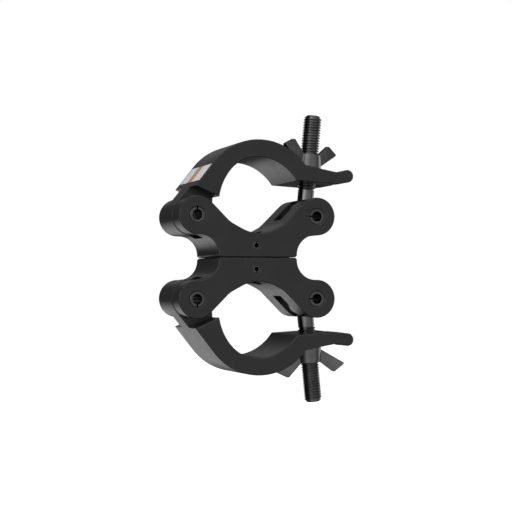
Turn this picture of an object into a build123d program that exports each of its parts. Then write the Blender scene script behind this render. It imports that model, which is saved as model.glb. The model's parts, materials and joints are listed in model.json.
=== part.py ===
"""Swivel coupler for stage and truss tubes: two half couplers joined by a pivot.

Each half has a forked base, a hinged jaw, an eyebolt, a washer and a wing nut. The lower tube's
axis is the origin and runs along Y. Z is up, and X points from the hinge to the eyebolt. A half's
own sketches are drawn from the parting plane: x across the pins, y away from the other half.
"""

import os
from math import acos, atan2, cos, degrees, hypot, radians, sin, sqrt

from build123d import *

os.makedirs("parts", exist_ok=True)

# ---- driving dimensions, mm -------------------------------------------------------------------
# tube and body
TUBE_R = 24.15  # 48.3 mm stage tube
SEAT_CLEARANCE = 0.10  # between the tube and its round seats
WIDTH = 50.0  # along the tube
FLOOR = 15.45  # metal between the parting plane and the lowest point of the seat
TUBE_OFFSET = 0.5  # the tube's axis, towards the eyebolt from the middle of the pins
PARTING_GAP = 0.3  # between the two bases
EDGE = 0.5  # broken edges of bases and jaws

# ears, neck and pins
PIN_DROP = 13.2  # pins below the tube's axis, towards the parting plane
EAR_R = 12.2
FLAT_RELIEF = 1.13  # the 45 degree flats stand this far clear of the seat's circle
NECK_HALF = 26.2  # half the base's width at the parting plane
NECK_RISE = 1.7  # where the neck's arc starts, above the parting plane
PARTING_CHAMFER = 1.1
BASE_SEAT_HALF = 28.0  # degrees either side of the seat's lowest point
SADDLE_BLEND_R = 16.0  # between the seat's run-out and the flats
PIN_R = 5.0
PIN_WALL = 1.7
PIN_SLOT = 1.2
PIN_INSET = 0.4  # each end below the ear's face
PIN_END_CHAMFER = 0.3
PIN_HOLE_CHAMFER = 0.6
PIN_CLEARANCE = 0.06  # radial, in the jaw and in the eye

# slots in the base
HINGE_SLOT = 19.4
BOLT_SLOT = 15.6
SIDE_CLEARANCE = 0.3  # each side of the knuckle and of the eye
CUTTER_OVER_EAR = 4.0  # the slots' round ends stand this far outside the ears
BOLT_SLOT_REACH = 19.0  # the eyebolt slot's inner wall, from its pin
BOLT_SLOT_FLOOR = 8.5  # its floor, below its pin

# jaw: heel and throat are measured from the hinge pin, the beak from the eyebolt pin
KNUCKLE_OVER_EAR = 0.3
KNUCKLE_EDGE = 0.4  # broken edges round the knuckle
HEEL = (-1.25, 18.3)  # outer corner of the step above the knuckle
STEP_FALL = 23.4  # degrees, how the step falls towards the tube
STEP_RELIEF = 2.0  # the step ends this far outside the seat's circle
THROAT = (14.0, 6.6)  # lower end of the knuckle's inner flank
KNUCKLE_OVERLAP = 6.6  # the knuckle reaches this far into the bow, across and up
CROWN_WALL = 14.15  # the crown's radius beyond the seat's
CROWN_SHIFT = (0.7, -3.1)  # the crown's centre from the tube's axis
JAW_SEAT = (78.0, 142.0)  # degrees round the tube from the eyebolt side
ROOT_RELIEF = 3.1  # the beak's root stands this far outside the seat's circle
BEAK_DIP = (14.35, 28.8)  # lowest point of the beak's top, before the lip
BEAK_FALL = 10.5  # degrees, how the beak's top falls outwards
BEAK_KNEE = (13.65, 21.4)  # lowest point of the beak's underside
BEAK_RISE = 3.3  # degrees, how the underside rises towards the root
TIP_R = 4.1
TIP = (21.15, 26.5)
CROWN_FILLET = 3.5
DIP_FILLET = 9.0
FORK_CLEARANCE = 0.6  # each side of the thread
FORK_END = 1.3  # centre of the fork's round end, from the eyebolt pin

# eyebolt
BOLT_LEAN = 5.6  # degrees outwards when closed
THREAD_R = 6.0
SHANK_UNDER_THREAD = 0.65
EYE_UNDER_EAR = 1.4
THREAD_START = 18.6  # along the bolt from its pin, as are the next two
BOLT_LENGTH = 68.2
NUT_SEAT = 30.1
BOLT_END_CHAMFER = 1.0

# washer and wing nut
WASHER_OVER_THREAD = 4.0
WASHER_BORE_OVER = 0.5
WASHER_THICK = 2.0
SPOT_OVER_WASHER = 0.6
SEAT_GAP = 0.05  # under the washer, and between washer and nut
THREAD_CLEARANCE = 0.06  # radial, wing nut on the thread
HUB_FOOT_WALL = 2.6
HUB_TOP_WALL = 1.3
HUB_HEIGHT = 10.2
WING_THICK = 3.2
WING_NEAR = (25.0, 13.5)  # outer lower corner: from the bolt's axis, above the nut's foot
WING_FAR = (16.4, 18.4)  # outer upper corner
WING_ROOT = (1.6, 9.4)  # the wing's lower and upper ends on the hub
WING_CORNER_R = 1.0
WING_TURN = {"upper": 26.0, "lower": 3.0}  # degrees, how each wing nut stands at rest

# swivel pivot
PIVOT_R = 6.0
PIVOT_CLEARANCE = 0.06  # radial, pivot bolt in its bush
PIVOT_RECESS_DEPTH = 5.05  # below the lowest point of the seat
PIVOT_RECESS_R = 10.4
PIVOT_HEAD_R = 9.6
PIVOT_END_GAP = 0.5  # head and nut below the tube
PIVOT_KEY = 8.0  # hexagon socket across flats
PIVOT_KEY_DEPTH = 2.6
PIVOT_WASHER_THICK = 0.8
NUT_NOTCH = 2.4  # the ring nut's four notches
NUT_NOTCH_DEPTH = 1.4
THRUST_GAP = 0.05  # end play at each thrust face
BUSH_R = 8.0
SWIVEL_WASHER_R = 19.0
SWIVEL_WASHER_THICK = 1.5
WASHER_SIDE_GAP = 0.3
LOCK_PIN_R = 2.5
LOCK_PIN_WALL = 1.0
LOCK_PIN_SLOT = 0.6
LOCK_PIN_X = -1.0
LOCK_PIN_COVER = 0.4  # metal between the lock pin's hole and the recess's floor
LOCK_PIN_INSET = 0.3
LOCK_PIN_REACH = {"upper": -6.6, "lower": 9.0}  # where each one ends, along Y

# label on the upper jaw's flank
LABEL_THICK = 0.12
LABEL_START = 4.3  # from the heel
LABEL_LENGTH = 13.3
LABEL_INSET = 1.7  # from the jaw's side faces

# ---- values worked out from them --------------------------------------------------------------
HALF = WIDTH / 2
SEAT_R = TUBE_R + SEAT_CLEARANCE
TUBE_HEIGHT = FLOOR + SEAT_R  # each tube's axis above the parting plane
PIN_HEIGHT = TUBE_HEIGHT - PIN_DROP
FLAT_RISE = TUBE_HEIGHT - sqrt(2) * (SEAT_R + FLAT_RELIEF)  # where the flats' lines cross
PIN_X = PIN_HEIGHT + EAR_R * sqrt(2) - FLAT_RISE  # the flats touch the ears
NECK_ACROSS = PIN_X - NECK_HALF
NECK_UP = PIN_HEIGHT - NECK_RISE
NECK_ARC_R = (NECK_ACROSS**2 + NECK_UP**2 - EAR_R**2) / (2 * (NECK_ACROSS + EAR_R))
KNUCKLE_R = EAR_R + KNUCKLE_OVER_EAR
CUTTER_R = EAR_R + CUTTER_OVER_EAR
EYE_R = EAR_R - EYE_UNDER_EAR
KNUCKLE_HALF = HINGE_SLOT / 2 - SIDE_CLEARANCE
EYE_HALF = BOLT_SLOT / 2 - SIDE_CLEARANCE
SHANK_R = THREAD_R - SHANK_UNDER_THREAD
CROWN_R = SEAT_R + CROWN_WALL
FORK_HALF = THREAD_R + FORK_CLEARANCE
WASHER_R = THREAD_R + WASHER_OVER_THREAD
NUT_FOOT = NUT_SEAT + WASHER_THICK + 2 * SEAT_GAP
FACE_GAP = PARTING_GAP / 2
WASHER_POCKET = (SWIVEL_WASHER_THICK - PARTING_GAP) / 2
PIVOT_WEB = FLOOR - PIVOT_RECESS_DEPTH
PIVOT_END = FLOOR - PIVOT_END_GAP
LOCK_PIN_HEIGHT = PIVOT_WEB - LOCK_PIN_R - LOCK_PIN_COVER
SIGNS = {"upper": 1, "lower": -1}
HINGE = (-PIN_X, PIN_HEIGHT)
BOLT = (PIN_X, PIN_HEIGHT)
TUBE = (TUBE_OFFSET, TUBE_HEIGHT)


# ---- planes -----------------------------------------------------------------------------------
def half_plane(half):
    """The drawing plane of a half: x across the pins, y away from the parting plane."""
    return Plane(origin=(-TUBE_OFFSET, 0, TUBE_HEIGHT), x_dir=(1, 0, 0), z_dir=(0, -SIGNS[half], 0))


def plan_plane(half, height=0.0):
    """A plane parallel to the parting plane, at a height away from it, facing outwards."""
    sign = SIGNS[half]
    return Plane(origin=(-TUBE_OFFSET, 0, TUBE_HEIGHT + sign * height), x_dir=(1, 0, 0), z_dir=(0, 0, sign))


def front_plane(half, point, along):
    """A plane across the pins with its origin at a point of a half, facing along +Y."""
    place = half_plane(half).from_local_coords(point)
    return Plane(origin=(place.X, along, place.Z), x_dir=(-1, 0, 0), z_dir=(0, 1, 0))


def turned(plane, angle):
    """A plane turned about its own z axis, in degrees."""
    return Plane(plane.location * Rotation(0, 0, angle))


def bolt_plane(half, along=0.0, turn=0.0):
    """A plane square to the eyebolt, its z along the bolt, at a distance from the bolt's pin."""
    sign, lean = SIGNS[half], radians(BOLT_LEAN)
    pin = Vector(PIN_X - TUBE_OFFSET, 0, TUBE_HEIGHT + sign * PIN_HEIGHT)
    axis = Vector(sin(lean), 0, sign * cos(lean))
    square = Plane(origin=pin + axis * along, x_dir=(cos(lean), 0, -sign * sin(lean)), z_dir=axis)
    return turned(square, sign * turn)


def side_of(plane):
    """The plane that holds another plane's x and z, to draw a profile round its z axis."""
    return Plane(origin=plane.origin, x_dir=plane.x_dir, z_dir=-plane.y_dir)


def axis_of(plane):
    return Axis(plane.origin, plane.z_dir)


# ---- points of the outlines -------------------------------------------------------------------
def moved(start, step):
    return start[0] + step[0], start[1] + step[1]


def tangent_point(outside, centre, radius, side):
    """Where the tangent from a point meets a circle; side is 1 or -1."""
    dx, dy = centre[0] - outside[0], centre[1] - outside[1]
    away = atan2(-dy, -dx) + side * acos(radius / hypot(dx, dy))
    return centre[0] + radius * cos(away), centre[1] + radius * sin(away)


def ray_to_circle(start, angle, centre, radius):
    """Where a ray, from a point outside a circle, first meets it; the angle is in degrees."""
    step = cos(radians(angle)), sin(radians(angle))
    gap = start[0] - centre[0], start[1] - centre[1]
    along = gap[0] * step[0] + gap[1] * step[1]
    reach = -along - sqrt(along**2 - gap[0] ** 2 - gap[1] ** 2 + radius**2)
    return start[0] + reach * step[0], start[1] + reach * step[1]


def round_tube(angle):
    """A point of the round seat, in a half's own drawing plane."""
    turn = radians(angle)
    return TUBE[0] + SEAT_R * cos(turn), TUBE[1] + SEAT_R * sin(turn)


def round_heading(angle, way):
    """The heading along the seat at an angle; way is 1 for anticlockwise."""
    turn = radians(angle)
    return -way * sin(turn), way * cos(turn)


def saddle_corner(side):
    """Where the run-out of the seat meets the flat."""
    slope = radians(BASE_SEAT_HALF)
    x, y = round_tube(-90 + side * BASE_SEAT_HALF)
    reach = side * x
    run = (y - reach - FLAT_RISE) / (cos(slope) - sin(slope))
    return side * (reach + run * cos(slope)), y + run * sin(slope)


def at_points(vertices, points):
    """The vertices that lie at any of the points."""
    return [v for v in vertices if min((v.center() - Vector(*p)).length for p in points) < 0.01]


def rims(piece, radius, off):
    """A piece's round edges of one radius that stand this far either side of its middle plane."""
    rounds = piece.edges().filter_by(GeomType.CIRCLE)
    return [
        edge
        for edge in rounds
        if max(abs(edge.radius - radius), abs(abs(edge.arc_center.Y) - off)) < 0.01
    ]


# ---- pieces of a half -------------------------------------------------------------------------
def base_side(side):
    """One side of the base's outline, from the parting plane round the ear to the saddle."""
    neck, ear = (side * (NECK_HALF + NECK_ARC_R), NECK_RISE), (side * PIN_X, PIN_HEIGHT)
    share = NECK_ARC_R / (NECK_ARC_R + EAR_R)
    meet = (neck[0] + (ear[0] - neck[0]) * share, neck[1] + (ear[1] - neck[1]) * share)
    shoulder = (ear[0] - side * EAR_R / sqrt(2), ear[1] + EAR_R / sqrt(2))
    inner = (neck[0] - side * NECK_ARC_R / sqrt(2), neck[1] + NECK_ARC_R / sqrt(2))
    Line((side * (NECK_HALF - PARTING_CHAMFER), FACE_GAP), (side * NECK_HALF, FACE_GAP + PARTING_CHAMFER))
    Line((side * NECK_HALF, FACE_GAP + PARTING_CHAMFER), (side * NECK_HALF, NECK_RISE))
    ThreePointArc((side * NECK_HALF, NECK_RISE), inner, meet)
    ThreePointArc(meet, (ear[0] + side * EAR_R, ear[1]), shoulder)
    Line(shoulder, saddle_corner(side))
    Line(saddle_corner(side), round_tube(-90 + side * BASE_SEAT_HALF))


def make_base(half):
    """A half's body, with its two pin slots, pin holes and the pivot's recess."""
    plane = half_plane(half)
    with BuildPart() as base:
        with BuildSketch(plane) as outline:
            with BuildLine():
                Line((-(NECK_HALF - PARTING_CHAMFER), FACE_GAP), (NECK_HALF - PARTING_CHAMFER, FACE_GAP))
                base_side(1)
                base_side(-1)
                ends = round_tube(-90 - BASE_SEAT_HALF), round_tube(-90 + BASE_SEAT_HALF)
                ThreePointArc(ends[0], round_tube(-90), ends[1])
            make_face()
            fillet(at_points(outline.vertices(), [saddle_corner(1), saddle_corner(-1)]), SADDLE_BLEND_R)
        extrude(amount=HALF, both=True)
        chamfer(base.faces().filter_by(Axis.Y).edges(), EDGE)
        with BuildSketch(plane):
            with Locations(HINGE):
                Circle(CUTTER_R)
        extrude(amount=HINGE_SLOT / 2, both=True, mode=Mode.SUBTRACT)
        with BuildSketch(plane):
            with Locations(BOLT):
                Circle(CUTTER_R)
            with Locations(moved(BOLT, (-BOLT_SLOT_REACH, -BOLT_SLOT_FLOOR))):
                Rectangle(BOLT_SLOT_REACH, EAR_R + BOLT_SLOT_FLOOR, align=(Align.MIN, Align.MIN))
        extrude(amount=BOLT_SLOT / 2, both=True, mode=Mode.SUBTRACT)
        with BuildSketch(plane):
            with Locations(HINGE, BOLT):
                Circle(PIN_R)
        extrude(amount=HALF, both=True, mode=Mode.SUBTRACT)
        chamfer(rims(base, PIN_R, HALF), PIN_HOLE_CHAMFER)
        with BuildSketch(plan_plane(half, PIVOT_WEB)):
            Circle(PIVOT_RECESS_R)
        extrude(amount=EAR_R, mode=Mode.SUBTRACT)
        with BuildSketch(plan_plane(half)):
            Circle(BUSH_R if half == "upper" else PIVOT_R)
        extrude(amount=PIVOT_WEB, mode=Mode.SUBTRACT)
        with BuildSketch(plan_plane(half)):
            Circle(SWIVEL_WASHER_R + WASHER_SIDE_GAP)
        extrude(amount=FACE_GAP + WASHER_POCKET, mode=Mode.SUBTRACT)
        with BuildSketch(front_plane(half, (LOCK_PIN_X, LOCK_PIN_HEIGHT), -HALF)):
            Circle(LOCK_PIN_R)
        extrude(amount=HALF + LOCK_PIN_REACH[half], mode=Mode.SUBTRACT)
    return base.part


def jaw_outline():
    """Draws the jaw's outline and returns the corners between crown, beak and lip."""
    crown = moved(TUBE, CROWN_SHIFT)
    heel, dip, knee, tip = (moved(HINGE, HEEL), moved(BOLT, BEAK_DIP), moved(BOLT, BEAK_KNEE), moved(BOLT, TIP))
    flank_top = tangent_point(heel, crown, CROWN_R, -1)
    crease = ray_to_circle(dip, 180 - BEAK_FALL, crown, CROWN_R)
    lip = tangent_point(dip, tip, TIP_R, -1)
    chin = tangent_point(knee, tip, TIP_R, 1)
    root = ray_to_circle(knee, 180 - BEAK_RISE, TUBE, SEAT_R + ROOT_RELIEF)
    heel_in = ray_to_circle(heel, -STEP_FALL, TUBE, SEAT_R + STEP_RELIEF)
    first, last = JAW_SEAT
    Line(heel, flank_top)
    ThreePointArc(flank_top, moved(crown, (0, CROWN_R)), crease)
    Polyline(crease, dip, lip)
    ThreePointArc(lip, moved(tip, (TIP_R, 0)), chin)
    Polyline(chin, knee, root)
    TangentArc(round_tube(first), root, tangent=round_heading(first, -1))
    ThreePointArc(round_tube(first), round_tube((first + last) / 2), round_tube(last))
    TangentArc(round_tube(last), heel_in, tangent=round_heading(last, 1))
    Line(heel_in, heel)
    return crease, dip


def make_jaw(half):
    """A half's jaw: a full-width bow with a forked beak, and a narrow knuckle on the hinge pin."""
    plane = half_plane(half)
    heel, throat = moved(HINGE, HEEL), moved(HINGE, THROAT)
    heel_in = ray_to_circle(heel, -STEP_FALL, TUBE, SEAT_R + STEP_RELIEF)
    inside = moved(heel_in, (-KNUCKLE_OVERLAP, KNUCKLE_OVERLAP))
    outer, inner = tangent_point(heel, HINGE, KNUCKLE_R, 1), tangent_point(throat, HINGE, KNUCKLE_R, -1)
    with BuildPart() as jaw:
        with BuildSketch(plane) as bow:
            with BuildLine():
                crease, dip = jaw_outline()
            make_face()
            fillet(at_points(bow.vertices(), [crease]), CROWN_FILLET)
            fillet(at_points(bow.vertices(), [dip]), DIP_FILLET)
        extrude(amount=HALF, both=True)
        chamfer(jaw.faces().filter_by(Axis.Y).edges(), EDGE)
        with BuildSketch(plane):
            with Locations(HINGE):
                Circle(KNUCKLE_R)
            with BuildLine():
                Polyline(outer, heel, inside, heel_in, throat, inner, HINGE, close=True)
            make_face()
        extrude(amount=KNUCKLE_HALF, both=True)
        chamfer(rims(jaw, KNUCKLE_R, KNUCKLE_HALF), KNUCKLE_EDGE)
        with BuildSketch(plane):
            with Locations(HINGE):
                Circle(PIN_R + PIN_CLEARANCE)
        extrude(amount=HALF, both=True, mode=Mode.SUBTRACT)
        with BuildSketch(plan_plane(half)):
            with Locations((PIN_X + FORK_END, 0)):
                Circle(FORK_HALF)
                Rectangle(WIDTH, 2 * FORK_HALF, align=(Align.MIN, Align.CENTER))
        extrude(amount=2 * TUBE_HEIGHT, mode=Mode.SUBTRACT)
        with BuildSketch(bolt_plane(half, NUT_SEAT)):
            Circle(WASHER_R + SPOT_OVER_WASHER)
        extrude(amount=HUB_HEIGHT, mode=Mode.SUBTRACT)
    return jaw.part


def make_spring_pin(place, radius, wall, slot, length, slot_turn):
    """A rolled, slotted pin that runs from a plane along its normal."""
    with BuildPart() as pin:
        with BuildSketch(place):
            Circle(radius)
        extrude(amount=length)
        chamfer(pin.edges(), PIN_END_CHAMFER)
        with BuildSketch(turned(place, slot_turn)):
            Circle(radius - wall)
            Rectangle(2 * radius, slot, align=(Align.MIN, Align.CENTER))
        extrude(amount=length, mode=Mode.SUBTRACT)
    return pin.part


def make_cross_pin(half, point, slot_turn):
    place = front_plane(half, point, PIN_INSET - HALF)
    return make_spring_pin(place, PIN_R, PIN_WALL, PIN_SLOT, WIDTH - 2 * PIN_INSET, slot_turn)


def make_lock_pin(half):
    """The small pin that locks the pivot bolt, or its bush, in a half."""
    place = front_plane(half, (LOCK_PIN_X, LOCK_PIN_HEIGHT), LOCK_PIN_INSET - HALF)
    length = HALF + LOCK_PIN_REACH[half] - LOCK_PIN_INSET
    return make_spring_pin(place, LOCK_PIN_R, LOCK_PIN_WALL, LOCK_PIN_SLOT, length, SIGNS[half] * 90)


def make_eyebolt(half):
    """An eyebolt: a flat-sided eye on the pin, a plain shank and the thread's full round."""
    axis_plane = bolt_plane(half)
    with BuildPart() as bolt:
        with BuildSketch(side_of(axis_plane)):
            with BuildLine():
                Polyline(
                    (0, 0),
                    (SHANK_R, 0),
                    (SHANK_R, THREAD_START),
                    (THREAD_R, THREAD_START + THREAD_R - SHANK_R),
                    (THREAD_R, BOLT_LENGTH - BOLT_END_CHAMFER),
                    (THREAD_R - BOLT_END_CHAMFER, BOLT_LENGTH),
                    (0, BOLT_LENGTH),
                    close=True,
                )
            make_face()
        revolve(axis=axis_of(axis_plane))
        with BuildSketch(half_plane(half)):
            with Locations(BOLT):
                Circle(EYE_R)
        extrude(amount=EYE_HALF, both=True)
        with BuildSketch(half_plane(half)):
            with Locations(BOLT):
                Circle(PIN_R + PIN_CLEARANCE)
        extrude(amount=HALF, both=True, mode=Mode.SUBTRACT)
    return bolt.part


def make_washer(half):
    with BuildPart() as washer:
        with BuildSketch(bolt_plane(half, NUT_SEAT + SEAT_GAP)):
            Circle(WASHER_R)
        extrude(amount=WASHER_THICK)
        chamfer(washer.edges(), WASHER_THICK / 8)
        with BuildSketch(bolt_plane(half, NUT_SEAT + SEAT_GAP)):
            Circle(THREAD_R + WASHER_BORE_OVER)
        extrude(amount=WASHER_THICK, mode=Mode.SUBTRACT)
    return washer.part


def make_wing_nut(half):
    """A cone-shaped hub with two flat wings that reach outwards and away from the jaw."""
    foot = bolt_plane(half, NUT_FOOT, WING_TURN[half])
    top = THREAD_R + HUB_TOP_WALL
    with BuildPart() as nut:
        with BuildSketch(side_of(foot)):
            with BuildLine():
                Polyline((0, 0), (THREAD_R + HUB_FOOT_WALL, 0), (top, HUB_HEIGHT), (0, HUB_HEIGHT), close=True)
            make_face()
        revolve(axis=axis_of(foot))
        for way in (1, -1):
            near, far = (way * WING_NEAR[0], WING_NEAR[1]), (way * WING_FAR[0], WING_FAR[1])
            with BuildSketch(side_of(foot)) as wing:
                with BuildLine():
                    Polyline(
                        (0, WING_ROOT[0]),
                        (way * top, WING_ROOT[0]),
                        near,
                        far,
                        (way * THREAD_R, WING_ROOT[1]),
                        (0, WING_ROOT[1]),
                        close=True,
                    )
                make_face()
                fillet(at_points(wing.vertices(), [near, far]), WING_CORNER_R)
            extrude(amount=WING_THICK / 2, both=True)
        with BuildSketch(foot):
            Circle(THREAD_R + THREAD_CLEARANCE)
        extrude(amount=WING_FAR[1], mode=Mode.SUBTRACT)
    return nut.part


# ---- pieces of the pivot ----------------------------------------------------------------------
def make_pivot_bolt():
    """The pivot's bolt: a low head under the lower tube, its shank up through both halves."""
    with BuildPart() as bolt:
        with BuildSketch(plan_plane("lower", PIVOT_WEB)):
            Circle(PIVOT_HEAD_R)
        extrude(amount=PIVOT_END - PIVOT_WEB)
        with BuildSketch(plan_plane("lower", PIVOT_END)):
            RegularPolygon(PIVOT_KEY / 2, 6, major_radius=False)
        extrude(amount=-PIVOT_KEY_DEPTH, mode=Mode.SUBTRACT)
        with BuildSketch(plan_plane("upper", -PIVOT_WEB)):
            Circle(PIVOT_R)
        extrude(amount=PIVOT_WEB + PIVOT_END)
        with BuildSketch(front_plane("lower", (LOCK_PIN_X, LOCK_PIN_HEIGHT), -HALF)):
            Circle(LOCK_PIN_R)
        extrude(amount=HALF + LOCK_PIN_REACH["lower"], mode=Mode.SUBTRACT)
    return bolt.part


def make_pivot_bush():
    """The plain bush that turns on the bolt, held in the upper half by its lock pin."""
    start = FACE_GAP + WASHER_POCKET
    with BuildPart() as bush:
        with BuildSketch(plan_plane("upper", start)):
            Circle(BUSH_R)
            Circle(PIVOT_R + PIVOT_CLEARANCE, mode=Mode.SUBTRACT)
        extrude(amount=PIVOT_WEB - start)
        with BuildSketch(front_plane("upper", (LOCK_PIN_X, LOCK_PIN_HEIGHT), -HALF)):
            Circle(LOCK_PIN_R)
        extrude(amount=HALF + LOCK_PIN_REACH["upper"], mode=Mode.SUBTRACT)
    return bush.part


def make_pivot_washer():
    with BuildPart() as washer:
        with BuildSketch(plan_plane("upper", PIVOT_WEB)):
            Circle(PIVOT_HEAD_R)
            Circle(PIVOT_R + PIVOT_CLEARANCE, mode=Mode.SUBTRACT)
        extrude(amount=PIVOT_WASHER_THICK)
    return washer.part


def make_pivot_nut():
    """A ring nut with four notches, on the pivot bolt's end."""
    foot = PIVOT_WEB + PIVOT_WASHER_THICK + THRUST_GAP
    with BuildPart() as nut:
        with BuildSketch(plan_plane("upper", foot)):
            Circle(PIVOT_HEAD_R)
            Circle(PIVOT_R, mode=Mode.SUBTRACT)
            with PolarLocations(PIVOT_HEAD_R, 4):
                Rectangle(2 * NUT_NOTCH_DEPTH, NUT_NOTCH, mode=Mode.SUBTRACT)
        extrude(amount=PIVOT_END - foot)
    return nut.part


def make_swivel_washer():
    """The friction washer that keeps the two halves apart; it rides with the lower half."""
    with BuildPart() as washer:
        with BuildSketch(plan_plane("upper", -FACE_GAP - WASHER_POCKET)):
            Circle(SWIVEL_WASHER_R)
            Circle(PIVOT_R, mode=Mode.SUBTRACT)
        extrude(amount=SWIVEL_WASHER_THICK - THRUST_GAP)
    return washer.part


def make_label():
    """The blank label on the upper jaw's straight flank."""
    heel = moved(HINGE, HEEL)
    flank_top = tangent_point(heel, moved(TUBE, CROWN_SHIFT), CROWN_R, -1)
    up = Vector(flank_top[0] - heel[0], flank_top[1] - heel[1]).normalized()
    with BuildPart() as label:
        with BuildSketch(half_plane("upper")):
            with Locations(moved(heel, (up.X * LABEL_START, up.Y * LABEL_START))):
                with Locations(Rotation(0, 0, degrees(atan2(up.Y, up.X)))):
                    Rectangle(LABEL_LENGTH, LABEL_THICK, align=(Align.MIN, Align.MIN))
        extrude(amount=HALF - LABEL_INSET, both=True)
    return label.part


def save(piece, name):
    piece.label = name
    export_step(piece, f"parts/{name}.step")


for half in SIGNS:
    save(make_base(half), f"{half}_base")
    save(make_jaw(half), f"{half}_jaw")
    save(make_cross_pin(half, HINGE, SIGNS[half] * 90), f"{half}_hinge_pin")
    save(make_cross_pin(half, BOLT, 0), f"{half}_eyebolt_pin")
    save(make_eyebolt(half), f"{half}_eyebolt")
    save(make_washer(half), f"{half}_washer")
    save(make_wing_nut(half), f"{half}_wing_nut")
    save(make_lock_pin(half), f"{half}_lock_pin")

save(make_pivot_bolt(), "pivot_bolt")
save(make_pivot_bush(), "pivot_bush")
save(make_pivot_washer(), "pivot_washer")
save(make_pivot_nut(), "pivot_nut")
save(make_swivel_washer(), "swivel_washer")
save(make_label(), "flank_label")
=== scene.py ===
"""Looks of the swivel pipe clamp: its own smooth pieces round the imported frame, and a plain studio."""

import json
import logging
import math
from dataclasses import dataclass
from enum import Enum

import bmesh
import bpy
from mathutils import Matrix, Vector


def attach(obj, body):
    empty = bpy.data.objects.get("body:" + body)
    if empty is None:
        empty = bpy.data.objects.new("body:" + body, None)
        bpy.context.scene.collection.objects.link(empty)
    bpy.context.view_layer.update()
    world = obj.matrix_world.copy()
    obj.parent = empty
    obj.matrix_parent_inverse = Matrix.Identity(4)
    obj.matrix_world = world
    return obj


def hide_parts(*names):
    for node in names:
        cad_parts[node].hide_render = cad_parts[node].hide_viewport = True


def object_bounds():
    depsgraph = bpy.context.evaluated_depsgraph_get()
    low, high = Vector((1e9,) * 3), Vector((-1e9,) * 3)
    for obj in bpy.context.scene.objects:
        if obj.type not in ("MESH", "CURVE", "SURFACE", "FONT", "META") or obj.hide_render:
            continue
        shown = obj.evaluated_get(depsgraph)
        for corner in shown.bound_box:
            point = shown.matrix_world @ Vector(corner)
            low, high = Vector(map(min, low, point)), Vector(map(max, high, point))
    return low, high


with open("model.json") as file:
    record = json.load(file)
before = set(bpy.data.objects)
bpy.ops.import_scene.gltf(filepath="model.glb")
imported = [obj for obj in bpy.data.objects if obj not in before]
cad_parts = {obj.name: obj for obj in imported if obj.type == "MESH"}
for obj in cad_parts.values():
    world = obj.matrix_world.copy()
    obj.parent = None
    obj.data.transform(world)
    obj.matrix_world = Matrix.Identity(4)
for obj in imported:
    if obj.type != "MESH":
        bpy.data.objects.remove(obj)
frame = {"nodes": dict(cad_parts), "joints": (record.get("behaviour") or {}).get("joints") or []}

Colour = tuple[float, float, float, float]
Place = tuple[float, float, float]
Socket = bpy.types.NodeSocket

LOG = logging.getLogger("pipe_clamp")
MM = 0.001
CAD_BOX = [list(corner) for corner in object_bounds()]
MERGE_REACH = 0.002 * MM  # doubled points of a CAD skin lie closer than this
THREAD_MERGE_REACH = 0.0001 * MM
PLAIN_EDGE = 24.0  # degrees; a plain piece's faces that turn by more meet in a sharp edge
THREAD_EDGE = 35.0  # degrees, the same on the thread


class Half(Enum):
    """The two half couplers; the value is the way each one faces along Z."""

    UPPER = 1
    LOWER = -1

    @property
    def word(self) -> str:
        """The half's name, as the CAD nodes begin with it."""
        return self.name.lower()


# ---- node helpers -----------------------------------------------------------------------------
class Nodes:
    """A short way to write a node tree: make a node with its inputs, and link it as it is made."""

    def __init__(self, tree: bpy.types.NodeTree) -> None:
        """Takes over an empty or cleared tree."""
        self.tree = tree

    def add(self, kind: str, inputs: dict | None = None, **props) -> bpy.types.Node:
        """Adds a node.

        Args:
            kind: the node's Blender type.
            inputs: input name or index to a value, or to the output socket that feeds it.
            props: properties of the node itself.

        Returns:
            The new node.
        """
        node = self.tree.nodes.new(kind)
        for key, value in props.items():
            setattr(node, key, value)
        for key, value in (inputs or {}).items():
            socket = node.inputs[key]
            if isinstance(value, Socket):
                self.tree.links.new(value, socket)
            else:
                socket.default_value = value
        return node

    def noise(self, place: Socket, scale: float, detail: float = 3.0, rough: float = 0.5) -> Socket:
        """A noise pattern's value.

        Args:
            place: the coordinates to read.
            scale: cells per metre.
            detail: octaves.
            rough: how strong the finer octaves are.

        Returns:
            The output socket, from 0 to 1.
        """
        made = self.add(
            "ShaderNodeTexNoise", {"Vector": place, "Scale": scale, "Detail": detail, "Roughness": rough}
        )
        return made.outputs["Fac"]

    def spread(
        self, value: Socket, low: float, high: float, to_low: float = 0.0, to_high: float = 1.0
    ) -> Socket:
        """Maps a value from one range to another, held at its ends.

        Args:
            value: the socket to map.
            low: start of its range.
            high: end of its range.
            to_low: start of the new range.
            to_high: end of the new range.

        Returns:
            The output socket.
        """
        made = self.add(
            "ShaderNodeMapRange",
            {"Value": value, "From Min": low, "From Max": high, "To Min": to_low, "To Max": to_high},
        )
        return made.outputs["Result"]

    def blend(self, share: Socket | float, first: Socket | Colour, second: Socket | Colour) -> Socket:
        """Mixes two colours.

        Args:
            share: 0 for the first colour and 1 for the second, as a number or a socket.
            first: a colour or a socket.
            second: a colour or a socket.

        Returns:
            The output socket.
        """
        made = self.add("ShaderNodeMix", data_type="RGBA")
        for index, value in ((0, share), (6, first), (7, second)):
            if isinstance(value, Socket):
                self.tree.links.new(value, made.inputs[index])
            else:
                made.inputs[index].default_value = value
        return made.outputs[2]

    def maths(self, operation: str, *values: Socket | float) -> Socket:
        """A Math node on sockets or numbers, and its output socket."""
        made = self.add("ShaderNodeMath", dict(enumerate(values)), operation=operation)
        return made.outputs[0]


def grey(level: float) -> Colour:
    """A neutral linear colour."""
    return (level, level, level, 1.0)


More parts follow.
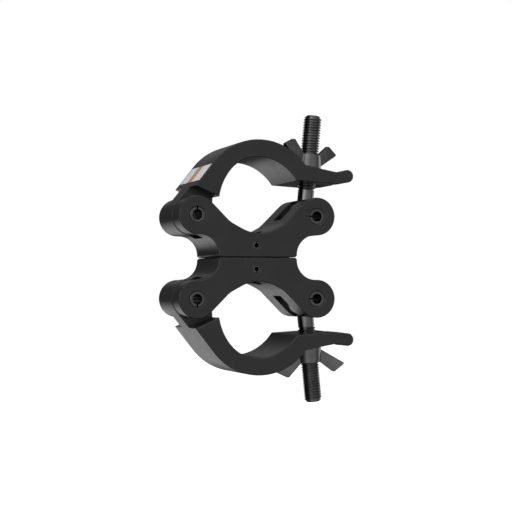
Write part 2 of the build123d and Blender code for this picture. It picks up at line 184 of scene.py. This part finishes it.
# ---- finishes ---------------------------------------------------------------------------------
@dataclass(frozen=True)
class MetalFinish:
    """A coated or blackened metal with fine grain, uneven gloss, and edges painted lighter: partly
    rubbed-through coat, partly a painted edge highlight.

    Scales are in cells per metre, and lengths in metres.
    """

    name: str
    slot: str
    dark: Colour
    light: Colour
    worn: Colour
    rough_low: float
    rough_high: float
    grain_scale: float
    grain_height: float
    edge_radius: float
    wear: float
    metallic: float = 1.0
    cloud_scale: float = 55.0
    smudge_scale: float = 190.0
    relief: float = 0.55

    def edge_wear(self, nodes: Nodes, rounded: Socket, smudge: Socket) -> Socket:
        """How far the coat is rubbed through at an edge, together with the painted edge highlight laid on the
        same edges.

        Args:
            nodes: the material's nodes.
            rounded: a rounded normal, which leaves the true one only near an edge.
            smudge: a fine pattern that breaks up the rubbed edges and their painted highlight.

        Returns:
            A share from 0, the plain coat, to 1, the full edge colour of rubbed coat and painted highlight.
        """
        flat = nodes.add("ShaderNodeNewGeometry").outputs["Normal"]
        agree = nodes.add("ShaderNodeVectorMath", {0: rounded, 1: flat}, operation="DOT_PRODUCT")
        edge = nodes.spread(agree.outputs["Value"], 0.995, 0.86)
        return nodes.maths("MULTIPLY", edge, nodes.spread(smudge, 0.34, 0.62, 0.25, self.wear))

    def material(self) -> bpy.types.Material:
        """Builds the finish's node material, or gives the one already made."""
        found = bpy.data.materials.get(self.name)
        if found is not None:
            return found
        made = bpy.data.materials.new(self.name)
        made.use_nodes = True
        made.node_tree.nodes.clear()
        nodes = Nodes(made.node_tree)
        place = nodes.add("ShaderNodeTexCoord").outputs["Object"]
        clouds = nodes.noise(place, self.cloud_scale, 4.0, 0.6)
        grain = nodes.noise(place, self.grain_scale, 2.0, 0.5)
        smudge = nodes.noise(place, self.smudge_scale, 5.0, 0.62)
        rounded = nodes.add("ShaderNodeBevel", {"Radius": self.edge_radius}, samples=6).outputs[0]
        coat = nodes.blend(nodes.spread(clouds, 0.35, 0.65), self.dark, self.light)
        # edges painted lighter: partly rubbed-through coat, partly a painted edge highlight
        colour = nodes.blend(self.edge_wear(nodes, rounded, smudge), coat, self.worn)
        uneven = nodes.maths("ADD", clouds, smudge)
        gloss = nodes.spread(uneven, 0.75, 1.25, self.rough_low, self.rough_high)
        relief = nodes.add(
            "ShaderNodeBump",
            {"Height": grain, "Normal": rounded, "Strength": self.relief, "Distance": self.grain_height},
        ).outputs[0]
        shader = nodes.add(
            "ShaderNodeBsdfPrincipled",
            {"Base Color": colour, "Roughness": gloss, "Normal": relief, "Metallic": self.metallic},
        )
        nodes.add("ShaderNodeOutputMaterial", {"Surface": shader.outputs[0]})
        return made


@dataclass(frozen=True)
class LabelFinish:
    """A white film with a soft amber band across its middle and a bluish tint at its rear edge.

    Places are along Y, in metres.
    """

    name: str
    slot: str
    film: Colour
    amber: Colour
    tint: Colour
    middle: float = 1.0 * MM
    band_half: float = 6.5 * MM
    band_solid: float = 0.72  # share of the band's half that is full
    band_strength: float = 0.85
    tint_from: float = 15.5 * MM
    tint_to: float = 21.5 * MM
    tint_strength: float = 0.8
    ripple_scale: float = 420.0
    ripple_shift: float = 1.6 * MM

    def material(self) -> bpy.types.Material:
        """Builds the film's node material."""
        made = bpy.data.materials.new(self.name)
        made.use_nodes = True
        made.node_tree.nodes.clear()
        nodes = Nodes(made.node_tree)
        place = nodes.add("ShaderNodeTexCoord").outputs["Object"]
        along = nodes.add("ShaderNodeSeparateXYZ", {0: place}).outputs["Y"]
        ripple = nodes.noise(place, self.ripple_scale, 3.0)
        wavy = nodes.maths("ADD", along, nodes.maths("MULTIPLY", ripple, self.ripple_shift))
        away = nodes.maths("ABSOLUTE", nodes.maths("SUBTRACT", wavy, self.middle))
        band = nodes.spread(away, self.band_half, self.band_half * self.band_solid)
        rear = nodes.spread(along, self.tint_from, self.tint_to, 0.0, self.tint_strength)
        paper = nodes.blend(rear, self.film, self.tint)
        colour = nodes.blend(nodes.maths("MULTIPLY", band, self.band_strength), paper, self.amber)
        relief = nodes.add(
            "ShaderNodeBump", {"Height": ripple, "Strength": 0.25, "Distance": 0.04 * MM}
        ).outputs[0]
        shader = nodes.add(
            "ShaderNodeBsdfPrincipled",
            {"Base Color": colour, "Roughness": nodes.spread(ripple, 0.3, 0.7, 0.32, 0.46), "Normal": relief},
        )
        nodes.add("ShaderNodeOutputMaterial", {"Surface": shader.outputs[0]})
        return made


# each finish's edge colour and strength paint its edges lighter: partly rubbed-through coat, partly a painted
# edge highlight
SATIN_BLACK = MetalFinish(
    name="satin_black_coat",
    slot="black_coat",
    dark=grey(0.013),
    light=grey(0.017),
    worn=grey(0.14),
    rough_low=0.20,
    rough_high=0.28,
    grain_scale=2600.0,
    grain_height=0.02 * MM,
    edge_radius=0.55 * MM,
    wear=0.7,
    metallic=0.0,
)
BLACK_BOLT = MetalFinish(
    name="black_bolt_steel",
    slot="black_steel",
    dark=grey(0.13),
    light=grey(0.19),
    worn=grey(0.55),
    rough_low=0.13,
    rough_high=0.24,
    grain_scale=3200.0,
    grain_height=0.012 * MM,
    edge_radius=0.22 * MM,
    wear=0.8,
)
BLACK_NUT = MetalFinish(
    name="black_nut_steel",
    slot="black_nut",
    dark=grey(0.14),
    light=grey(0.20),
    worn=grey(0.5),
    rough_low=0.18,
    rough_high=0.30,
    grain_scale=1500.0,
    grain_height=0.05 * MM,
    edge_radius=0.4 * MM,
    wear=0.7,
)
SPRING_STEEL = MetalFinish(
    name="blackened_spring_steel",
    slot="spring_steel",
    dark=grey(0.09),
    light=grey(0.13),
    worn=grey(0.4),
    rough_low=0.22,
    rough_high=0.36,
    grain_scale=3000.0,
    grain_height=0.01 * MM,
    edge_radius=0.3 * MM,
    wear=0.8,
)
PIVOT_STEEL = MetalFinish(
    name="blackened_pivot_steel",
    slot="pivot_steel",
    dark=grey(0.06),
    light=grey(0.1),
    worn=grey(0.35),
    rough_low=0.3,
    rough_high=0.45,
    grain_scale=2400.0,
    grain_height=0.02 * MM,
    edge_radius=0.3 * MM,
    wear=0.8,
)
BUSH_BRONZE = MetalFinish(
    name="bush_bronze",
    slot="bronze",
    dark=(0.3, 0.19, 0.08, 1.0),
    light=(0.42, 0.28, 0.13, 1.0),
    worn=(0.6, 0.42, 0.2, 1.0),
    rough_low=0.28,
    rough_high=0.42,
    grain_scale=2400.0,
    grain_height=0.01 * MM,
    edge_radius=0.2 * MM,
    wear=0.6,
)
BLANK_LABEL = LabelFinish(
    name="blank_label_film",
    slot="label_paper",
    film=grey(0.80),
    amber=(0.50, 0.23, 0.09, 1.0),
    tint=(0.50, 0.60, 0.80, 1.0),
)


# ---- meshes -----------------------------------------------------------------------------------
def merged_copy(node: str, name: str) -> bpy.types.Object:
    """A copy of a CAD node's mesh with its doubled points merged.

    Args:
        node: the CAD node.
        name: name of the new object.

    Returns:
        An object at the origin whose mesh is one connected skin.
    """
    source = frame["nodes"][node].data
    shape = bmesh.new()
    shape.from_mesh(source)
    bmesh.ops.remove_doubles(shape, verts=shape.verts, dist=MERGE_REACH)
    points = [v.co.copy() for v in shape.verts]
    faces = [[v.index for v in f.verts] for f in shape.faces]
    shape.free()
    mesh = bpy.data.meshes.new(name)
    mesh.from_pydata(points, [], faces)
    mesh.validate()
    made = bpy.data.objects.new(name, mesh)
    bpy.context.scene.collection.objects.link(made)
    return made


def smooth_with_edges(mesh: bpy.types.Mesh, angle: float) -> None:
    """Shades a mesh smooth, with sharp edges where its faces turn by more than an angle in degrees."""
    mesh.shade_smooth()
    mesh.set_sharp_from_angle(angle=math.radians(angle))


def apply_modifiers(made: bpy.types.Object) -> None:
    """Turns an object's modifiers into plain mesh, and removes them."""
    graph = bpy.context.evaluated_depsgraph_get()
    graph.update()
    result = bpy.data.meshes.new_from_object(made.evaluated_get(graph))
    result.name = made.name
    made.modifiers.clear()
    made.data = result


def dress(
    made: bpy.types.Object, finish: MetalFinish | LabelFinish, body: str, *nodes: str
) -> bpy.types.Object:
    """Gives a finished piece its material and its body.

    Args:
        made: the piece, at the origin.
        finish: what it is coated with.
        body: the CAD body that it moves with.
        nodes: the CAD nodes that it stands for.

    Returns:
        The same piece.
    """
    made.data.materials.clear()
    made.data.materials.append(finish.material())
    if nodes:
        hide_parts(*nodes)
    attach(made, body)
    LOG.info("%s: %d faces, on %s", made.name, len(made.data.polygons), body)
    return made


def dressed_copy(node: str, finish: MetalFinish | LabelFinish, body: str) -> bpy.types.Object:
    """A smooth-shaded piece in the place of one CAD node."""
    made = merged_copy(node, f"{node}_skin")
    smooth_with_edges(made.data, PLAIN_EDGE)
    return dress(made, finish, body, node)


# ---- the thread -------------------------------------------------------------------------------
@dataclass(frozen=True)
class Thread:
    """A coarse right-handed metric thread, all sizes in metres."""

    root: float = 4.93 * MM
    crest: float = 5.97 * MM
    pitch: float = 1.75 * MM
    foot_width: float = 1.56 * MM
    crest_width: float = 0.30 * MM
    steps: int = 44
    rise_per_turn: float = 1.6  # how fast the thread grows to its full depth
    least: float = 0.05  # the share of its depth that it starts and ends with

    def tree(self) -> bpy.types.NodeTree:
        """Builds the tree that sweeps the thread's section along a right-handed helix.

        Returns:
            A Geometry Nodes tree with the inputs Turns, Length, Root, Depth, Foot, Crest and Finish.
        """
        tree = bpy.data.node_groups.new("ScrewThread", "GeometryNodeTree")
        face = tree.interface
        for label, kind, value in (
            ("Turns", "NodeSocketFloat", 10.0),
            ("Length", "NodeSocketFloat", 0.02),
            ("Root", "NodeSocketFloat", self.root),
            ("Depth", "NodeSocketFloat", self.crest - self.root),
            ("Foot", "NodeSocketFloat", self.foot_width),
            ("Crest", "NodeSocketFloat", self.crest_width),
        ):
            face.new_socket(label, in_out="INPUT", socket_type=kind).default_value = value
        face.new_socket("Finish", in_out="INPUT", socket_type="NodeSocketMaterial")
        face.new_socket("Geometry", in_out="OUTPUT", socket_type="NodeSocketGeometry")
        nodes = Nodes(tree)
        given = nodes.add("NodeGroupInput").outputs
        helix = nodes.add(
            "GeometryNodeCurveSpiral",
            {
                "Resolution": self.steps,
                "Rotations": given["Turns"],
                "Start Radius": given["Root"],
                "End Radius": given["Root"],
                "Height": given["Length"],
                "Reverse": True,
            },
        )
        upright = nodes.add("GeometryNodeSetCurveNormal", {"Curve": helix.outputs[0]}, mode="Z_UP")
        section = nodes.add(
            "GeometryNodeCurvePrimitiveQuadrilateral",
            {
                "Height": given["Depth"],
                "Bottom Width": given["Foot"],
                "Top Width": given["Crest"],
                "Offset": 0.0,
            },
            mode="TRAPEZOID",
        )
        half_depth = nodes.maths("MULTIPLY", given["Depth"], 0.5)
        outward = nodes.add("ShaderNodeCombineXYZ", {"X": half_depth})
        turned = nodes.add(
            "GeometryNodeTransform",
            {
                "Geometry": section.outputs[0],
                "Rotation": (0.0, 0.0, -math.pi / 2),
                "Translation": outward.outputs[0],
            },
        )
        # the thread runs out over its first and last turn
        way = nodes.add("GeometryNodeSplineParameter").outputs["Factor"]
        risen = nodes.maths("MULTIPLY", way, given["Turns"])
        left = nodes.maths("SUBTRACT", given["Turns"], risen)
        grown = nodes.maths("MULTIPLY", risen, self.rise_per_turn)
        fade = nodes.maths("MINIMUM", nodes.maths("MINIMUM", grown, left), 1.0)
        swept = nodes.add(
            "GeometryNodeCurveToMesh",
            {
                "Curve": upright.outputs[0],
                "Profile Curve": turned.outputs[0],
                "Scale": nodes.maths("MAXIMUM", fade, self.least),
                "Fill Caps": True,
            },
        )
        painted = nodes.add(
            "GeometryNodeSetMaterial", {"Geometry": swept.outputs[0], "Material": given["Finish"]}
        )
        real = nodes.add("GeometryNodeRealizeInstances", {"Geometry": painted.outputs[0]})
        nodes.add("NodeGroupOutput", {0: real.outputs[0]})
        return tree

    def wound(self, name: str, length: float, finish: MetalFinish) -> bpy.types.Object:
        """Winds a thread up the Z axis from the origin.

        Args:
            name: name of the new object.
            length: how far it runs.
            finish: its finish.

        Returns:
            An object that holds the thread as plain mesh.
        """
        tree = bpy.data.node_groups.get("ScrewThread") or self.tree()
        made = bpy.data.objects.new(name, bpy.data.meshes.new(name))
        bpy.context.scene.collection.objects.link(made)
        winding = made.modifiers.new("winding", "NODES")
        winding.node_group = tree
        wanted = {
            "Turns": length / self.pitch,
            "Length": length,
            "Root": self.root,
            "Depth": self.crest - self.root,
            "Foot": self.foot_width,
            "Crest": self.crest_width,
            "Finish": finish.material(),
        }
        for item in tree.interface.items_tree:
            if item.in_out == "INPUT":
                winding[item.identifier] = wanted[item.name]
        apply_modifiers(made)
        return made


# ---- half couplers ----------------------------------------------------------------------------
@dataclass
class HalfCoupler:
    """One half: its body, jaw, pins, eyebolt, washer and wing nut."""

    half: Half
    thread: Thread
    thread_start: float = 18.9 * MM
    thread_end: float = 67.9 * MM
    core_start: float = 18.8 * MM
    full_round: float = 6.0 * MM
    nut_grain: float = 0.26 * MM
    nut_smoothing: int = 5

    def __post_init__(self) -> None:
        """Reads the eyebolt's pin and direction from the joints."""
        joints = {j["name"]: j for j in frame["joints"]}
        self.pin = Vector(joints[f"{self.half.word}_eyebolt_swing"]["pos_m"])
        self.way = Vector(joints[f"{self.half.word}_nut_travel"]["axis"]).normalized()

    def node(self, piece: str) -> str:
        """The CAD node of one of this half's pieces."""
        return f"{self.half.word}_{piece}"

    def along_bolt(self) -> Matrix:
        """The turn and place that carry the Z axis from the origin onto the eyebolt."""
        turn = Vector((0, 0, 1)).rotation_difference(self.way).to_matrix().to_4x4()
        return Matrix.Translation(self.pin) @ turn

    def build_body(self) -> None:
        """The base and the jaw, in the satin coat."""
        dressed_copy(self.node("base"), SATIN_BLACK, self.node("base"))
        dressed_copy(self.node("jaw"), SATIN_BLACK, self.node("jaw"))

    def build_pins(self) -> None:
        """The two rolled pins through the ears, and the small lock pin."""
        for piece in ("hinge_pin", "eyebolt_pin", "lock_pin"):
            dressed_copy(self.node(piece), SPRING_STEEL, self.node("base"))

    def build_eyebolt(self) -> None:
        """The eyebolt: its threaded stretch brought down to the root, and a thread wound on it."""
        bolt = merged_copy(self.node("eyebolt"), self.node("eyebolt_shank"))
        for vertex in bolt.data.vertices:
            reach = vertex.co - self.pin
            height = reach.dot(self.way)
            if height > self.core_start:
                outwards = reach - self.way * height
                vertex.co = self.pin + self.way * height + outwards * (self.thread.root / self.full_round)
        smooth_with_edges(bolt.data, PLAIN_EDGE)
        dress(bolt, BLACK_BOLT, self.node("eyebolt"), self.node("eyebolt"))
        run = self.thread_end - self.thread_start
        turns = self.thread.wound(self.node("eyebolt_thread"), run, BLACK_BOLT)
        turns.data.transform(self.along_bolt() @ Matrix.Translation((0, 0, self.thread_start)))
        shape = bmesh.new()
        shape.from_mesh(turns.data)
        bmesh.ops.remove_doubles(shape, verts=shape.verts, dist=THREAD_MERGE_REACH)
        bmesh.ops.recalc_face_normals(shape, faces=shape.faces)
        shape.to_mesh(turns.data)
        shape.free()
        smooth_with_edges(turns.data, THREAD_EDGE)
        dress(turns, BLACK_BOLT, self.node("eyebolt"))

    def build_washer(self) -> None:
        """The plain washer under the wing nut."""
        dressed_copy(self.node("washer"), BLACK_BOLT, self.node("washer"))

    def build_wing_nut(self) -> None:
        """The wing nut as a casting: every corner and root softened to a small radius."""
        nut = merged_copy(self.node("wing_nut"), self.node("wing_nut_casting"))
        skin = nut.modifiers.new("skin", "REMESH")
        skin.mode = "VOXEL"
        skin.voxel_size = self.nut_grain
        soft = nut.modifiers.new("soft", "SMOOTH")
        soft.factor = 0.5
        soft.iterations = self.nut_smoothing
        apply_modifiers(nut)
        nut.data.shade_smooth()
        dress(nut, BLACK_NUT, self.node("wing_nut"), self.node("wing_nut"))

    def build(self) -> None:
        """Builds the whole half, from the body outwards."""
        self.build_body()
        self.build_pins()
        self.build_eyebolt()
        self.build_washer()
        self.build_wing_nut()


@dataclass
class Pivot:
    """The pivot between the two halves."""

    fixed: tuple[str, ...] = ("pivot_bolt", "pivot_nut", "swivel_washer")

    def build(self) -> None:
        """Dresses the bolt, ring nut and washers, and the bronze bush."""
        for node in self.fixed:
            dressed_copy(node, PIVOT_STEEL, "lower_base")
        dressed_copy("pivot_washer", PIVOT_STEEL, "upper_base")
        dressed_copy("pivot_bush", BUSH_BRONZE, "upper_base")


@dataclass
class FlankLabel:
    """The blank label on the upper jaw's flank."""

    node: str = "flank_label"

    def build(self) -> None:
        """Dresses the film."""
        dressed_copy(self.node, BLANK_LABEL, "upper_jaw")


# ---- studio -----------------------------------------------------------------------------------
@dataclass(frozen=True)
class SoftLight:
    """A square area light that faces the clamp's middle."""

    name: str
    place: Place
    size: float
    power: float
    mirrored: bool = True  # whether the clamp's gloss shows it

    def build(self, middle: Vector) -> None:
        """Adds the light, turned towards a point."""
        data = bpy.data.lights.new(self.name, "AREA")
        data.shape = "SQUARE"
        data.size = self.size
        data.energy = self.power
        lamp = bpy.data.objects.new(self.name, data)
        lamp.location = self.place
        lamp.visible_glossy = self.mirrored
        lamp.rotation_euler = (middle - lamp.location).to_track_quat("-Z", "Y").to_euler()
        bpy.context.scene.collection.objects.link(lamp)


@dataclass(frozen=True)
class Glow:
    """A soft round panel of the surround: full within one angle of its heading, gone past another."""

    heading: Place
    level: float
    inner: float
    outer: float


@dataclass
class Studio:
    """A pale floor and a white surround, which lights the clamp by a few soft panels."""

    floor: float = -0.20
    half_width: float = 4.0
    floor_glow: float = 0.95
    ambient: float = 0.06
    front: float = 0.54
    panels: tuple[Glow, ...] = (
        Glow((-0.04, 0.945, -0.325), 0.66, 4.0, 18.0),
        Glow((0.163, 0.945, 0.29), 0.14, 4.0, 13.0),
        Glow((-0.62, -0.78, 0.10), 0.60, 8.0, 36.0),
        Glow((0.92, 0.38, 0.0), 1.10, 12.0, 34.0),
        Glow((-0.1, -0.3, 0.95), 0.40, 10.0, 40.0),
    )
    lights: tuple[SoftLight, ...] = (
        SoftLight("front_left_panel", (-0.95, -0.85, 0.45), 0.5, 0.9),
        SoftLight("label_light", (-0.95, -0.35, 0.85), 0.6, 8.0, mirrored=False),
        SoftLight("overhead", (0.15, -0.1, 1.0), 0.6, 0.6),
    )

    def build_floor(self) -> None:
        """The plain pale floor, evenly bright and kept out of the clamp's reflections."""
        reach = self.half_width
        corners = [(-reach, -reach, self.floor), (reach, -reach, self.floor), (reach, reach, self.floor)]
        corners.append((-reach, reach, self.floor))
        mesh = bpy.data.meshes.new("pale_floor")
        mesh.from_pydata(corners, [], [(0, 1, 2, 3)])
        floor = bpy.data.objects.new("pale_floor", mesh)
        floor.visible_glossy = False
        floor.visible_diffuse = False
        bpy.context.scene.collection.objects.link(floor)
        paint = bpy.data.materials.new("pale_floor_paint")
        paint.use_nodes = True
        shader = paint.node_tree.nodes["Principled BSDF"]
        shader.inputs["Base Color"].default_value = grey(0.8)
        shader.inputs["Roughness"].default_value = 0.9
        shader.inputs["Emission Color"].default_value = grey(1.0)
        shader.inputs["Emission Strength"].default_value = self.floor_glow
        mesh.materials.append(paint)

    def build_surround(self) -> None:
        """The surround: white to look at, and as a source of light dim but for its soft panels."""
        world = bpy.data.worlds.new("surround")
        world.use_nodes = True
        world.node_tree.nodes.clear()
        nodes = Nodes(world.node_tree)
        heading = nodes.add("ShaderNodeTexCoord").outputs["Generated"]
        ahead = nodes.add("ShaderNodeSeparateXYZ", {0: heading}).outputs["Y"]
        level = nodes.spread(ahead, -0.05, -0.75, self.ambient, self.front)
        for panel in self.panels:
            centre = Vector(panel.heading).normalized()
            near = nodes.add("ShaderNodeVectorMath", {0: heading, 1: centre}, operation="DOT_PRODUCT")
            limits = math.cos(math.radians(panel.outer)), math.cos(math.radians(panel.inner))
            glow = nodes.spread(near.outputs["Value"], *limits, 0.0, panel.level)
            level = nodes.maths("ADD", level, glow)
        seen = nodes.add("ShaderNodeLightPath").outputs["Is Camera Ray"]
        back = nodes.add(
            "ShaderNodeBackground", {"Color": grey(1.0), "Strength": nodes.maths("MAXIMUM", level, seen)}
        )
        nodes.add("ShaderNodeOutputWorld", {"Surface": back.outputs[0]})
        bpy.context.scene.world = world

    def build(self) -> None:
        """Builds the floor, the surround and the lights."""
        self.build_floor()
        self.build_surround()
        low, high = (Vector(corner) for corner in CAD_BOX)
        for light in self.lights:
            light.build((low + high) / 2)
        bpy.context.scene.view_settings.view_transform = "Standard"


@dataclass
class Viewpoint:
    """The camera: where it stands, its azimuth and pitch in degrees, and its lens."""

    place: Place = (-0.2791, -0.8541, 0.02085)
    azimuth: float = 19.0
    pitch: float = 1.38
    lens: float = 97.05
    sensor: float = 36.0
    shift: tuple[float, float] = (-0.02477, -0.00457)

    def build(self) -> None:
        """Adds the camera and makes it the scene's."""
        turn, tilt = math.radians(self.azimuth), math.radians(self.pitch)
        ahead = Vector((math.sin(turn) * math.cos(tilt), math.cos(turn) * math.cos(tilt), math.sin(tilt)))
        right = Vector((math.cos(turn), -math.sin(turn), 0.0))
        above = right.cross(ahead)
        stand = Matrix((right, above, -ahead)).transposed().to_4x4()
        stand.translation = Vector(self.place)
        data = bpy.data.cameras.new("camera")
        data.lens = self.lens
        data.sensor_width = self.sensor
        data.shift_x, data.shift_y = self.shift
        camera = bpy.data.objects.new("camera", data)
        camera.matrix_world = stand
        bpy.context.scene.collection.objects.link(camera)
        bpy.context.scene.camera = camera


def main() -> None:
    """Builds the studio, then the clamp from its bases outwards."""
    logging.basicConfig(level=logging.INFO, format="%(name)s %(message)s")
    Viewpoint().build()
    Studio().build()
    thread = Thread()
    for half in Half:
        HalfCoupler(half, thread).build()
    Pivot().build()
    FlankLabel().build()


if __name__ == "__main__":
    main()
